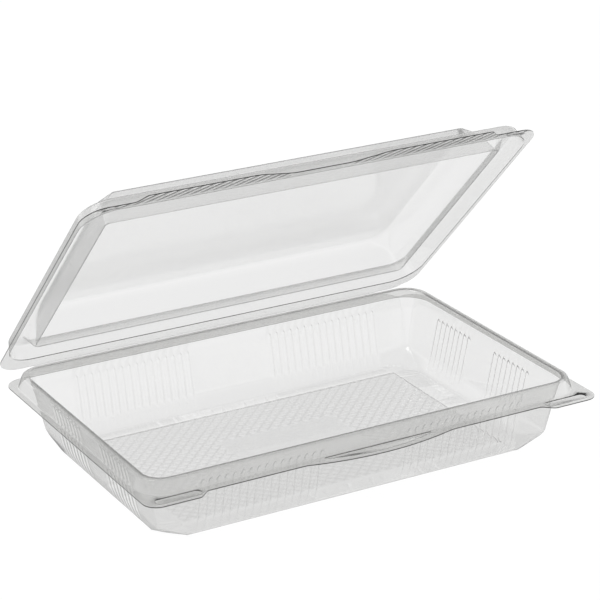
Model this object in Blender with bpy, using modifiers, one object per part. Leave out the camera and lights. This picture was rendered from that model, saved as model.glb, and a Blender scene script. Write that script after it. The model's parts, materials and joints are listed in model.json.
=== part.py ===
"""Clear hinged food pack, thermoformed from one sheet: a fluted tray and the lid that folds over it.

Metres, +Z up. The origin is at the middle of the tray's underside, the hinge runs along X at the
back (+Y), and the lid stands part-open as in the photograph. Every length comes from the constants
below; the tray and the lid are open sheets that Solidify gives their thickness.
"""

import math
from collections import namedtuple

import bmesh
import bpy
from mathutils import Matrix, Vector
from mathutils.geometry import delaunay_2d_cdt

MM = 0.001

SHEET = 0.4 * MM

# Outlines: half lengths from the middle of the pack, heights from the underside of the tray.
FLANGE_TOP = 30.3 * MM
CREST_TOP = 36.3 * MM
FLANGE_SIDE = 117.2 * MM
FRONT_EDGE = 79.5 * MM
FRONT_TAB_EDGE = 84.0 * MM
CENTRE_TAB_EDGE = 84.9 * MM
HINGE_Y = 85.5 * MM
HINGE_RELIEF = 0.25 * MM
CLOSED_GAP = 0.4 * MM
LID_ANGLE = math.radians(45.2)

# Tray floor.
WAFFLE_PITCH = 3.5 * MM
WAFFLE_COLUMNS = 48
WAFFLE_ROWS = 28
PATCH_COLUMNS = 18
PATCH_ROWS = 10
FLOOR_RAISE = 1.0 * MM
WAFFLE_RISE = 0.7 * MM
FLOOR_STEP = 1.2 * MM

# Flutes of the walls: V grooves in two groups a side.
FLUTE_PITCH = 4.0 * MM
FLUTE_DEPTH = 0.75 * MM
LONG_GROUP_START = 21.0 * MM
LONG_GROUP_FLUTES = 16
SHORT_GROUP_START = 9.5 * MM
SHORT_GROUP_FLUTES = 8
CORNER_STEPS = 6

# A section of a shell at one height. half_* is the half size, cut_* how far a corner reaches along
# each side, bulge 0 for a straight cut and 1 for a round one, flute the share of the flute depth.
Section = namedtuple("Section", "half_x half_y cut_x cut_y bulge z flute")

TRAY_WALL = (
    Section(99.4 * MM, 59.6 * MM, 12.0 * MM, 13.6 * MM, 0.0, SHEET, 0.0),
    Section(102.3 * MM, 62.6 * MM, 3.2 * MM, 3.2 * MM, 1.0, 7.4 * MM, 1.0),
    Section(106.9 * MM, 67.6 * MM, 6.6 * MM, 6.6 * MM, 1.0, 28.4 * MM, 1.0),
    Section(107.5 * MM, 68.2 * MM, 7.4 * MM, 7.4 * MM, 1.0, 31.0 * MM, 0.0),
)
TRAY_RIM = (
    Section(108.3 * MM, 69.0 * MM, 8.4 * MM, 8.4 * MM, 1.0, 35.6 * MM, 0.0),
    Section(108.9 * MM, 69.6 * MM, 9.0 * MM, 9.0 * MM, 1.0, CREST_TOP, 0.0),
    Section(112.1 * MM, 72.6 * MM, 12.0 * MM, 12.0 * MM, 1.0, CREST_TOP, 0.0),
    Section(112.8 * MM, 73.3 * MM, 12.7 * MM, 12.7 * MM, 1.0, 35.5 * MM, 0.0),
    Section(113.8 * MM, 74.4 * MM, 13.7 * MM, 13.7 * MM, 1.0, 30.9 * MM, 0.0),
    Section(114.3 * MM, 74.9 * MM, 14.2 * MM, 14.2 * MM, 1.0, FLANGE_TOP, 0.0),
)

# The lid closed: heights from the underside of its own flange.
LID_RIM = (
    Section(114.9 * MM, 75.7 * MM, 14.8 * MM, 14.8 * MM, 1.0, 0.0, 0.0),
    Section(113.9 * MM, 74.7 * MM, 13.8 * MM, 13.8 * MM, 1.0, 6.1 * MM, 0.0),
    Section(113.1 * MM, 73.9 * MM, 13.0 * MM, 13.0 * MM, 1.0, 6.8 * MM, 0.0),
    Section(107.7 * MM, 68.4 * MM, 7.9 * MM, 7.9 * MM, 1.0, 6.8 * MM, 0.0),
    Section(101.8 * MM, 62.3 * MM, 1.8 * MM, 1.8 * MM, 1.0, -0.8 * MM, 0.0),
)
LID_BODY = (
    Section(99.2 * MM, 59.7 * MM, 2.6 * MM, 2.6 * MM, 1.0, 10.0 * MM, 0.0),
    Section(97.0 * MM, 57.4 * MM, 7.6 * MM, 9.0 * MM, 0.0, 17.4 * MM, 0.0),
    Section(96.0 * MM, 56.4 * MM, 7.2 * MM, 8.6 * MM, 0.0, 18.0 * MM, 0.0),
)
RIM_LONG_COLUMNS = 7
RIM_SHORT_COLUMNS = 4

# Flange outlines as corners with their fillet radii.
FILLET_STEPS = 6
SIDE_CORNER = 7.0 * MM
BACK_CORNER = 9.0 * MM
BACK_CORNER_Y = 75.6 * MM
NOTCH_START = 104.0 * MM
NOTCH_END = 98.5 * MM
NOTCH_FILLET = 2.0 * MM
TAB_END = 92.0 * MM
TAB_STEP = 5.0 * MM
TAB_FILLET = 3.0 * MM
CENTRE_TAB_HALF = 38.0 * MM
CENTRE_TAB_STEPS = 8
CENTRE_TAB_FILLET = 12.0 * MM
LID_CORNER = 11.0 * MM
LID_HINGE_CORNER = 14.0 * MM
LID_TAB_OUTER = 88.5 * MM
LID_TAB_STEP = 4.0 * MM
LID_TAB_INNER = 34.0 * MM
LID_TAB_TAPER = 15.0 * MM
LID_TAB_FILLET = 3.0 * MM
LID_TAPER_FILLET = 20.0 * MM

# Pads embossed in the flanges.
PAD_DEPTH = 0.8 * MM
PAD_WALL = 0.5 * MM
CORNER_PAD_MIDDLE = 101.0 * MM
CORNER_PAD_HALF = 11.0 * MM
CORNER_PAD_FRONT = 81.6 * MM
CORNER_PAD_BACK = 76.6 * MM
CORNER_PAD_FILLET = 2.2 * MM
CENTRE_PAD_HALF = 27.5 * MM
CENTRE_PAD_BACK = 76.6 * MM
CENTRE_PAD_FRONT = 82.3 * MM
CENTRE_PAD_END = 77.8 * MM
PAD_FILLET = 0.6 * MM
PAD_FILLET_STEPS = 3
LID_PAD_MIDDLE = 103.5 * MM
LID_PAD_HALF = 5.0 * MM
LID_PAD_FRONT = 78.4 * MM
LID_PAD_BACK = 77.0 * MM

SIDES = 4
SIDE_PARAMETER = 0.8
PLACE_TOLERANCE = 1e-9
STRAIGHT_WITHIN = math.radians(0.005)
MERGE_DISTANCE = 1e-6 * MM
ALONG = (Vector((1, 0)), Vector((0, 1)), Vector((-1, 0)), Vector((0, -1)))
OUTWARD = (Vector((0, -1)), Vector((1, 0)), Vector((0, 1)), Vector((-1, 0)))

PLASTIC_COLOUR = (0.86, 0.88, 0.88, 1.0)
PLASTIC_ALPHA = 0.3
PLASTIC_ROUGHNESS = 0.08


def flute_columns(start, count):
    """The places along one side that bound its flutes, each with 1 at the foot of a groove."""
    half_pitch = FLUTE_PITCH / 2
    group = [(start + k * half_pitch, k % 2) for k in range(2 * count + 1)]
    return [(-place, foot) for place, foot in reversed(group)] + group


def even_columns(half, count):
    """Plain places spread evenly over one side."""
    return [(half * (2 * (k + 1) / (count + 1) - 1), 0) for k in range(count)]


def section_loop(section, long_columns, short_columns):
    """The points of a section, counter-clockwise, each with a parameter that orders it round."""
    points = []
    for side in range(SIDES):
        lengthwise = side % 2 == 0
        half_along, half_out = (
            (section.half_x, section.half_y) if lengthwise else (section.half_y, section.half_x)
        )
        cut_along, cut_out = (
            (section.cut_x, section.cut_y) if lengthwise else (section.cut_y, section.cut_x)
        )
        straight = half_along - cut_along
        for place, foot in long_columns if lengthwise else short_columns:
            out = half_out - foot * FLUTE_DEPTH * section.flute
            point = place * ALONG[side] + out * OUTWARD[side]
            points.append((point, side + SIDE_PARAMETER * (place / straight + 1) / 2))
        centre = straight * ALONG[side] + (half_out - cut_out) * OUTWARD[side]
        for step in range(CORNER_STEPS + 1):
            share = step / CORNER_STEPS
            angle = share * math.pi / 2
            rounded = cut_along * math.sin(angle) * ALONG[side] + cut_out * math.cos(angle) * OUTWARD[side]
            chord = cut_along * share * ALONG[side] + cut_out * (1 - share) * OUTWARD[side]
            point = centre + section.bulge * rounded + (1 - section.bulge) * chord
            points.append((point, side + SIDE_PARAMETER + (1 - SIDE_PARAMETER) * share))
    return [((point.x, point.y, section.z), place) for point, place in points]


def add_loop(mesh, loop):
    """Vertices for a loop of points, with their parameters."""
    return [(mesh.verts.new(point), place) for point, place in loop]


def loft(mesh, inner, outer):
    """Faces between two loops, facing the side that sees both turn left.

    Loops of one count pair place by place, and others by their parameters.
    """
    if len(inner) == len(outer):
        for k in range(len(inner)):
            after = (k + 1) % len(inner)
            mesh.faces.new((inner[k][0], outer[k][0], outer[after][0], inner[after][0]))
        return
    i = j = 0
    while i < len(inner) or j < len(outer):
        next_i, next_j = inner[(i + 1) % len(inner)], outer[(j + 1) % len(outer)]
        place_i = next_i[1] + (SIDES if i + 1 >= len(inner) else 0)
        place_j = next_j[1] + (SIDES if j + 1 >= len(outer) else 0)
        here_i, here_j = inner[i % len(inner)][0], outer[j % len(outer)][0]
        if j >= len(outer) or (i < len(inner) and place_i < place_j - PLACE_TOLERANCE):
            mesh.faces.new((here_i, here_j, next_i[0]))
            i += 1
        elif i >= len(inner) or place_j < place_i - PLACE_TOLERANCE:
            mesh.faces.new((here_i, here_j, next_j[0]))
            j += 1
        else:
            mesh.faces.new((here_i, here_j, next_j[0], next_i[0]))
            i += 1
            j += 1


def filleted(corners, square_steps=FILLET_STEPS):
    """A closed outline from (x, y, radius) corners: each is replaced by an arc of that radius.

    square_steps is how many chords make the arc of a square corner.
    """
    outline = []
    for k, (x, y, radius) in enumerate(corners):
        here = Vector((x, y))
        before = (Vector(corners[k - 1][:2]) - here).normalized()
        after = (Vector(corners[(k + 1) % len(corners)][:2]) - here).normalized()
        angle = before.angle(after)
        if radius == 0 or math.pi - angle < STRAIGHT_WITHIN:
            outline.append(here)
            continue
        reach = radius / math.tan(angle / 2)
        centre = here + (before + after).normalized() * radius / math.sin(angle / 2)
        start, end = here + before * reach, here + after * reach
        steps = max(2, round(square_steps * (math.pi - angle) / (math.pi / 2)))
        turn = (start - centre).angle_signed(end - centre)
        for step in range(steps + 1):
            spoke = start - centre
            spoke.rotate(Matrix.Rotation(-turn * step / steps, 2))
            outline.append(centre + spoke)
    return outline


def mirrored(half):
    """A whole outline from the corners of its right half, listed from front middle to back middle."""
    return half + [(-x, y, radius) for x, y, radius in reversed(half)]


def bow(half_width, sag, steps):
    """The (x, rise) points of an arc over a chord, from its middle to its right end."""
    radius = (half_width**2 + sag**2) / (2 * sag)
    places = [half_width * (k + 0.5) / steps for k in range(steps)]
    return [(x, math.sqrt(radius**2 - x**2) - (radius - sag)) for x in places]


def tray_outline():
    """The edge of the tray's flange: a centre tab, a tab at each front corner and notched back corners."""
    centre_tab = [
        (x, -(FRONT_EDGE + rise), 0)
        for x, rise in bow(CENTRE_TAB_HALF, CENTRE_TAB_EDGE - FRONT_EDGE, CENTRE_TAB_STEPS)
    ]
    return filleted(
        mirrored(
            centre_tab
            + [
                (CENTRE_TAB_HALF, -FRONT_EDGE, CENTRE_TAB_FILLET),
                (TAB_END - TAB_STEP, -FRONT_EDGE, TAB_FILLET),
                (TAB_END, -FRONT_TAB_EDGE, TAB_FILLET),
                (FLANGE_SIDE, -FRONT_TAB_EDGE, SIDE_CORNER),
                (FLANGE_SIDE, BACK_CORNER_Y, BACK_CORNER),
                (NOTCH_START, BACK_CORNER_Y, NOTCH_FILLET),
                (NOTCH_END, HINGE_Y - HINGE_RELIEF, NOTCH_FILLET),
            ]
        )
    )


def lid_outline():
    """The edge of the lid's flange when closed: two front tabs that sit between the tray's."""
    return filleted(
        mirrored(
            [
                (LID_TAB_TAPER, -FRONT_EDGE, LID_TAPER_FILLET),
                (LID_TAB_INNER, -FRONT_TAB_EDGE, LID_TAPER_FILLET),
                (LID_TAB_OUTER, -FRONT_TAB_EDGE, LID_TAB_FILLET),
                (LID_TAB_OUTER + LID_TAB_STEP, -FRONT_EDGE, LID_TAB_FILLET),
                (FLANGE_SIDE, -FRONT_EDGE, LID_CORNER),
                (FLANGE_SIDE, HINGE_Y - HINGE_RELIEF, LID_HINGE_CORNER),
            ]
        )
    )


def box_corners(middle, half, front, back, radius):
    """A flange pad with four rounded corners, counter-clockwise."""
    return [
        (middle - half, -front, radius),
        (middle + half, -front, radius),
        (middle + half, -back, radius),
        (middle - half, -back, radius),
    ]


def tray_pads():
    """The outlines of the tray's three flange pads: a slot at each corner and a crescent between."""
    corner = [
        filleted(
            box_corners(
                middle, CORNER_PAD_HALF, CORNER_PAD_FRONT, CORNER_PAD_BACK, CORNER_PAD_FILLET
            )
        )
        for middle in (-CORNER_PAD_MIDDLE, CORNER_PAD_MIDDLE)
    ]
    arc = [
        (x, -(CENTRE_PAD_END + rise), 0)
        for x, rise in bow(CENTRE_PAD_HALF, CENTRE_PAD_FRONT - CENTRE_PAD_END, CENTRE_TAB_STEPS)
    ]
    half = arc + [
        (CENTRE_PAD_HALF, -CENTRE_PAD_END, PAD_FILLET),
        (CENTRE_PAD_HALF, -CENTRE_PAD_BACK, PAD_FILLET),
    ]
    return corner + [filleted(mirrored(half), PAD_FILLET_STEPS)]


def lid_pads():
    """The outlines of the small pads at the lid's two front corners."""
    return [
        filleted(
            box_corners(middle, LID_PAD_HALF, LID_PAD_FRONT, LID_PAD_BACK, PAD_FILLET),
            PAD_FILLET_STEPS,
        )
        for middle in (-LID_PAD_MIDDLE, LID_PAD_MIDDLE)
    ]


def inside(point, outline):
    """Whether a point lies inside a closed outline."""
    within = False
    for k, here in enumerate(outline):
        before = outline[k - 1]
        if (here.y > point.y) != (before.y > point.y):
            crossing = here.x + (point.y - here.y) * (before.x - here.x) / (before.y - here.y)
            within ^= point.x < crossing
    return within


def inset(outline, distance):
    """An outline moved inwards by a distance, point by point."""
    moved = []
    for k, here in enumerate(outline):
        ahead = (outline[(k + 1) % len(outline)] - here).normalized()
        behind = (here - outline[k - 1]).normalized()
        inwards = Vector((-ahead.y - behind.y, ahead.x + behind.x))
        moved.append(here + inwards * 2 * distance / inwards.length_squared)
    return moved


def add_flange(mesh, root, outline, pads, height, emboss):
    """The flat ring from a rim's root out to the flange edge, with pads pressed into it."""
    loops = [[Vector(vert.co[:2]) for vert, _ in root], outline, *pads]
    verts = [vert for vert, _ in root]
    for loop in loops[1:]:
        verts += [mesh.verts.new((point.x, point.y, height)) for point in loop]
    flat, edges, first = [], [], 0
    for loop in loops:
        flat += loop
        edges += [(first + k, first + (k + 1) % len(loop)) for k in range(len(loop))]
        first += len(loop)
    points, _, faces, origins, _, _ = delaunay_2d_cdt(flat, edges, [], 0, MERGE_DISTANCE)
    for face in faces:
        middle = sum((points[k] for k in face), Vector((0, 0))) / len(face)
        holes = [loops[0], *pads]
        if inside(middle, outline) and not any(inside(middle, hole) for hole in holes):
            corners = [verts[origins[k][0]] for k in face]
            mesh.faces.new(corners)
    first = len(loops[0]) + len(outline)
    for pad in pads:
        rim = verts[first : first + len(pad)]
        sunk = [mesh.verts.new((p.x, p.y, height + emboss)) for p in inset(pad, PAD_WALL)]
        for k in range(len(pad)):
            after = (k + 1) % len(pad)
            mesh.faces.new((sunk[k], rim[k], rim[after], sunk[after]))
        mesh.faces.new(sunk)
        first += len(pad)


def add_waffle(mesh):
    """The raised floor with its diamond emboss round a plain patch. Returns its edge as a loop."""
    high, low = SHEET + FLOOR_RAISE + WAFFLE_RISE, SHEET + FLOOR_RAISE
    left, front = (WAFFLE_COLUMNS - PATCH_COLUMNS) // 2, (WAFFLE_ROWS - PATCH_ROWS) // 2
    right, back = left + PATCH_COLUMNS, front + PATCH_ROWS

    def plain(i, j):
        edge = i in (0, WAFFLE_COLUMNS) or j in (0, WAFFLE_ROWS)
        return edge or (left <= i <= right and front <= j <= back)

    grid = {}
    for i in range(WAFFLE_COLUMNS + 1):
        for j in range(WAFFLE_ROWS + 1):
            if left < i < right and front < j < back:
                continue
            raised = (i + j) % 2 == 0 and not plain(i, j)
            x = (i - WAFFLE_COLUMNS / 2) * WAFFLE_PITCH
            y = (j - WAFFLE_ROWS / 2) * WAFFLE_PITCH
            grid[i, j] = mesh.verts.new((x, y, high if raised else low))
    for i in range(WAFFLE_COLUMNS):
        for j in range(WAFFLE_ROWS):
            if left <= i < right and front <= j < back:
                continue
            a, b, c, d = (grid[i, j], grid[i + 1, j], grid[i + 1, j + 1], grid[i, j + 1])
            if (i + j) % 2 == 0:
                mesh.faces.new((a, b, c))
                mesh.faces.new((a, c, d))
            else:
                mesh.faces.new((a, b, d))
                mesh.faces.new((b, c, d))
    patch = ring_of(left, right, front, back)
    mesh.faces.new([grid[key] for key, _ in patch])
    return [(grid[key], place) for key, place in ring_of(0, WAFFLE_COLUMNS, 0, WAFFLE_ROWS)]


def ring_of(left, right, front, back):
    """The grid places round a block, counter-clockwise from its front left corner, with parameters."""
    wide, deep = right - left, back - front
    ring = [((left + k, front), k / wide) for k in range(wide)]
    ring += [((right, front + k), 1 + k / deep) for k in range(deep)]
    ring += [((right - k, back), 2 + k / wide) for k in range(wide)]
    ring += [((left, back - k), 3 + k / deep) for k in range(deep)]
    return ring


def step_foot(wall):
    """The foot of the step round the raised floor, with parameters that match the wall's section."""
    half_x = WAFFLE_COLUMNS / 2 * WAFFLE_PITCH + FLOOR_STEP
    half_y = WAFFLE_ROWS / 2 * WAFFLE_PITCH + FLOOR_STEP
    straights = (wall.half_x - wall.cut_x, wall.half_y - wall.cut_y)
    loop = []
    for (i, j), parameter in ring_of(0, WAFFLE_COLUMNS, 0, WAFFLE_ROWS):
        side = int(parameter)
        point = Vector(((2 * i / WAFFLE_COLUMNS - 1) * half_x, (2 * j / WAFFLE_ROWS - 1) * half_y))
        place = point.dot(ALONG[side])
        if parameter == side:
            parameter = side - (1 - SIDE_PARAMETER) / 2
        else:
            parameter = side + SIDE_PARAMETER * (place / straights[side % 2] + 1) / 2
        loop.append(((point.x, point.y, SHEET), parameter))
    return loop


def tray_sheet():
    """The tray's upper surface, from the floor out to the flange edge."""
    mesh = bmesh.new()
    long_flutes = flute_columns(LONG_GROUP_START, LONG_GROUP_FLUTES)
    short_flutes = flute_columns(SHORT_GROUP_START, SHORT_GROUP_FLUTES)
    rings = [add_waffle(mesh), add_loop(mesh, step_foot(TRAY_WALL[0]))]
    rings += [add_loop(mesh, section_loop(s, long_flutes, short_flutes)) for s in TRAY_WALL]
    rings += [add_loop(mesh, section_loop(s, *rim_columns(s))) for s in TRAY_RIM]
    for inner, outer in zip(rings, rings[1:]):
        loft(mesh, inner, outer)
    add_flange(mesh, rings[-1], tray_outline(), tray_pads(), FLANGE_TOP, -PAD_DEPTH)
    return mesh


def rim_columns(section):
    """The few columns that the plain sections of a rim need."""
    return (
        even_columns(section.half_x - section.cut_x, RIM_LONG_COLUMNS),
        even_columns(section.half_y - section.cut_y, RIM_SHORT_COLUMNS),
    )


def lid_sheet():
    """The lid's lower surface as it lies closed, then swung open about the hinge."""
    mesh = bmesh.new()
    sections = [*reversed(LID_BODY), *reversed(LID_RIM)]
    rings = [add_loop(mesh, section_loop(s, *rim_columns(s))) for s in sections]
    mesh.faces.new([vert for vert, _ in rings[0]])
    for inner, outer in zip(rings, rings[1:]):
        loft(mesh, inner, outer)
    add_flange(mesh, rings[-1], lid_outline(), lid_pads(), 0.0, PAD_DEPTH)
    pivot = Vector((0, HINGE_Y, FLANGE_TOP + CLOSED_GAP / 2))
    lift = Matrix.Translation((0, 0, FLANGE_TOP + CLOSED_GAP))
    swing = Matrix.Rotation(-LID_ANGLE, 4, "X")
    place = Matrix.Translation(pivot) @ swing @ Matrix.Translation(-pivot) @ lift
    mesh.transform(place)
    return mesh


def plastic(name):
    """The clear sheet's material."""
    material = bpy.data.materials.new(name)
    material.use_nodes = True
    shader = material.node_tree.nodes["Principled BSDF"]
    shader.inputs["Base Color"].default_value = PLASTIC_COLOUR
    shader.inputs["Roughness"].default_value = PLASTIC_ROUGHNESS
    shader.inputs["Alpha"].default_value = PLASTIC_ALPHA
    return material


def add_shell(name, mesh, side, collection):
    """An object whose sheet Solidify thickens to one side: -1 away from its normals, 1 along them."""
    data = bpy.data.meshes.new(name)
    mesh.to_mesh(data)
    mesh.free()
    shell = bpy.data.objects.new(name, data)
    collection.objects.link(shell)
    thicken = shell.modifiers.new("sheet", "SOLIDIFY")
    thicken.thickness = SHEET
    thicken.offset = side
    thicken.use_even_offset = True
    data.materials.append(plastic(f"{name} clear sheet"))
    return shell


def main():
    for obj in list(bpy.data.objects):
        bpy.data.objects.remove(obj)
    collection = bpy.data.collections.new("clamshell pack")
    bpy.context.scene.collection.children.link(collection)
    add_shell("tray", tray_sheet(), -1, collection)
    add_shell("lid", lid_sheet(), 1, collection)


main()
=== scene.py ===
"""Looks of the clear hinged food pack: fine shells of formed sheet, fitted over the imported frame.

Metres, +Z up. The tray and the lid are each one sheet of thermoformed clear plastic. A formed sheet
has no primitive near it, so its face is laid as rings of points, from the middle of the pack out to
the flange edge, and a modifier then gives it the thickness of the sheet.
"""

import json
import logging
import math
from collections.abc import Iterable, Sequence
from dataclasses import dataclass, field
from enum import Enum

import bmesh
import bpy
from mathutils import Euler, Matrix, Vector
from mathutils.geometry import delaunay_2d_cdt
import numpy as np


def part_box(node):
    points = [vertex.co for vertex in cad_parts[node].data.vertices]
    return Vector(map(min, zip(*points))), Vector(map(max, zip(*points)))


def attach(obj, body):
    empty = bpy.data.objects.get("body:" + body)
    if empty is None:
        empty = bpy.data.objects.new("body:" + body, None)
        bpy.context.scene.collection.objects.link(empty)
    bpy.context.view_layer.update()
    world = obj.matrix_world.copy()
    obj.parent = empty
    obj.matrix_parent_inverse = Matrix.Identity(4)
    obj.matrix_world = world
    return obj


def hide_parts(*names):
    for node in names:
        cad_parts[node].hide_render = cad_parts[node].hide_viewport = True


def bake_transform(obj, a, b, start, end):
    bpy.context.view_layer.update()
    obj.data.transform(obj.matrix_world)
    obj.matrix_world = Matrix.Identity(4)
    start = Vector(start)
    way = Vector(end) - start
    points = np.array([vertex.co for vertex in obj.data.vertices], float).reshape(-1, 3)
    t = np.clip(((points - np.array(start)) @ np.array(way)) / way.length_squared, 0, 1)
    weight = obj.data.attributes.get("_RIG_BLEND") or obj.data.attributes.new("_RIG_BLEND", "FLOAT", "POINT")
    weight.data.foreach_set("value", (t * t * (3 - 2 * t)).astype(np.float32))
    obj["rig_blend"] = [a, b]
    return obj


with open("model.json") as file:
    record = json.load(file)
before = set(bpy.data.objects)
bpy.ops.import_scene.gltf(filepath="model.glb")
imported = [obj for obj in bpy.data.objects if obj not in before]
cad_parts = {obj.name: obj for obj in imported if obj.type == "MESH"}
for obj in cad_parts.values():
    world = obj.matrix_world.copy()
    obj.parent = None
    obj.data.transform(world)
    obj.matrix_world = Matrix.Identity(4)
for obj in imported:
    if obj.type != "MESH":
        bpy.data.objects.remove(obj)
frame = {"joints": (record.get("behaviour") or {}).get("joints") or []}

MM = 0.001
SMOOTH_ANGLE = math.radians(38)
MERGE_DISTANCE = 1e-6 * MM

# A ring runs counter-clockwise from the front left. Its parameter counts 1 for each side with the
# corner after it, and the side takes this share of it.
SIDES = 4
SIDE_SHARE = 0.8
PLACE_TOLERANCE = 1e-9
ALONG = (Vector((1, 0)), Vector((0, 1)), Vector((-1, 0)), Vector((0, -1)))
OUTWARD = (Vector((0, -1)), Vector((1, 0)), Vector((0, 1)), Vector((-1, 0)))

# The reach and the rise of an eased step, from one edge to the other.
EASED_STEP_SHARES = ((0.0, 0.0), (0.25, 0.12), (0.5, 0.5), (0.75, 0.88), (1.0, 1.0))

# One band of the wave texture at a scale of 1, in metres.
WAVE_PERIOD = math.pi / 10

# The attribute that holds the painted shade along a fold: how dark the line along it is painted, from 0 to
# 1.
FOLD_SHADE = "bend"

# What forming leaves of the sheet's thickness where it is drawn thinnest.
DRAWN_SHARE = 0.5

log = logging.getLogger("pack")

Place = tuple[float, float]
Point = tuple[float, float, float]

# A corner's x and y with its radius.
Corner = tuple[float, float, float]

# A point with its parameter and its share of the painted fold shade, and a ring of vertices with their
# parameters.
RingPoint = tuple[Vector, float, float]
Ring = list[tuple[bmesh.types.BMVert, float]]

# A pad's outline with its vertices.
PadRim = tuple[Sequence[Vector], list[bmesh.types.BMVert]]

# The materials of the sheet and of its cut edge.
Finish = tuple[bpy.types.Material, bpy.types.Material]


class CornerForm(Enum):
    """How a ring turns its corners."""

    CUT = 0.0
    ROUND = 1.0


class SheetSide(Enum):
    """Which side of the laid face the sheet's thickness goes to."""

    BELOW = -1.0
    ABOVE = 1.0


def linear_colour(code: str) -> tuple[float, float, float, float]:
    """Turns an sRGB hex colour to the linear values that a shader takes.

    Args:
        code: Six hex digits after a hash sign.

    Returns:
        Linear red, green and blue, with an alpha of 1.
    """
    channels = [int(code[k : k + 2], 16) / 255 for k in (1, 3, 5)]
    linear = [c / 12.92 if c <= 0.04045 else ((c + 0.055) / 1.055) ** 2.4 for c in channels]
    return (*linear, 1.0)


def add_node(
    tree: bpy.types.NodeTree,
    kind: str,
    settings: dict[str | int, object] | None = None,
    **attributes: object,
) -> bpy.types.Node:
    """Adds a node to a tree.

    Args:
        tree: The node tree.
        kind: The node's type name.
        settings: Input sockets by name or number, each with a value or with the socket that feeds it.
        **attributes: Properties of the node itself.

    Returns:
        The new node.
    """
    node = tree.nodes.new(kind)
    for name, value in attributes.items():
        setattr(node, name, value)
    for name, value in (settings or {}).items():
        if isinstance(value, bpy.types.NodeSocket):
            tree.links.new(value, node.inputs[name])
        else:
            node.inputs[name].default_value = value
    return node


@dataclass(frozen=True)
class Knurl:
    """The fine slanting ribs of the grip on a front tab, drawn on the plan of the closed lid as bumps with
    painted shade.

    Attributes:
        pitch: From rib to rib, as coarse as it needs to be to show.
        height: Of a rib.
        rib_shade: How dark each rib is painted into the sheet's tint, as painted shade.
        lean: How far the ribs turn from the front edge, in degrees.
        front_from: How far in front of the pack's middle the grip starts.
        middle_from: How far to a side of the pack's middle it starts.
        fade: Over which it comes up.
    """

    pitch: float = 3.0 * MM
    height: float = 0.08 * MM
    rib_shade: float = 0.32
    lean: float = 33.5
    front_from: float = 76.6 * MM
    middle_from: float = 16.0 * MM
    fade: float = 1.2 * MM

    def relief(self, tree: bpy.types.NodeTree) -> bpy.types.NodeSocket:
        """Draws the ribs.

        Args:
            tree: The material's node tree.

        Returns:
            The height of the ribs as a share, 0 away from the tabs.
        """
        plan = add_node(tree, "ShaderNodeUVMap", uv_map="plan").outputs["UV"]
        turn = (0, 0, math.radians(self.lean - 90))
        turned = add_node(tree, "ShaderNodeMapping", {"Vector": plan, "Rotation": turn})
        wave = add_node(
            tree,
            "ShaderNodeTexWave",
            {"Vector": turned.outputs["Vector"], "Scale": WAVE_PERIOD / self.pitch},
        )
        axes = add_node(tree, "ShaderNodeSeparateXYZ", {"Vector": plan})
        sideways = add_node(tree, "ShaderNodeMath", {0: axes.outputs["X"]}, operation="ABSOLUTE")
        forwards = add_node(tree, "ShaderNodeMath", {0: axes.outputs["Y"], 1: -1.0}, operation="MULTIPLY")
        height = wave.outputs["Fac"]
        for place, start in ((sideways, self.middle_from), (forwards, self.front_from)):
            ramp = {"Value": place.outputs[0], "From Min": start, "From Max": start + self.fade}
            share = add_node(tree, "ShaderNodeMapRange", ramp).outputs["Result"]
            faded = add_node(tree, "ShaderNodeMath", {0: height, 1: share}, operation="MULTIPLY")
            height = faded.outputs[0]
        return height


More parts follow.
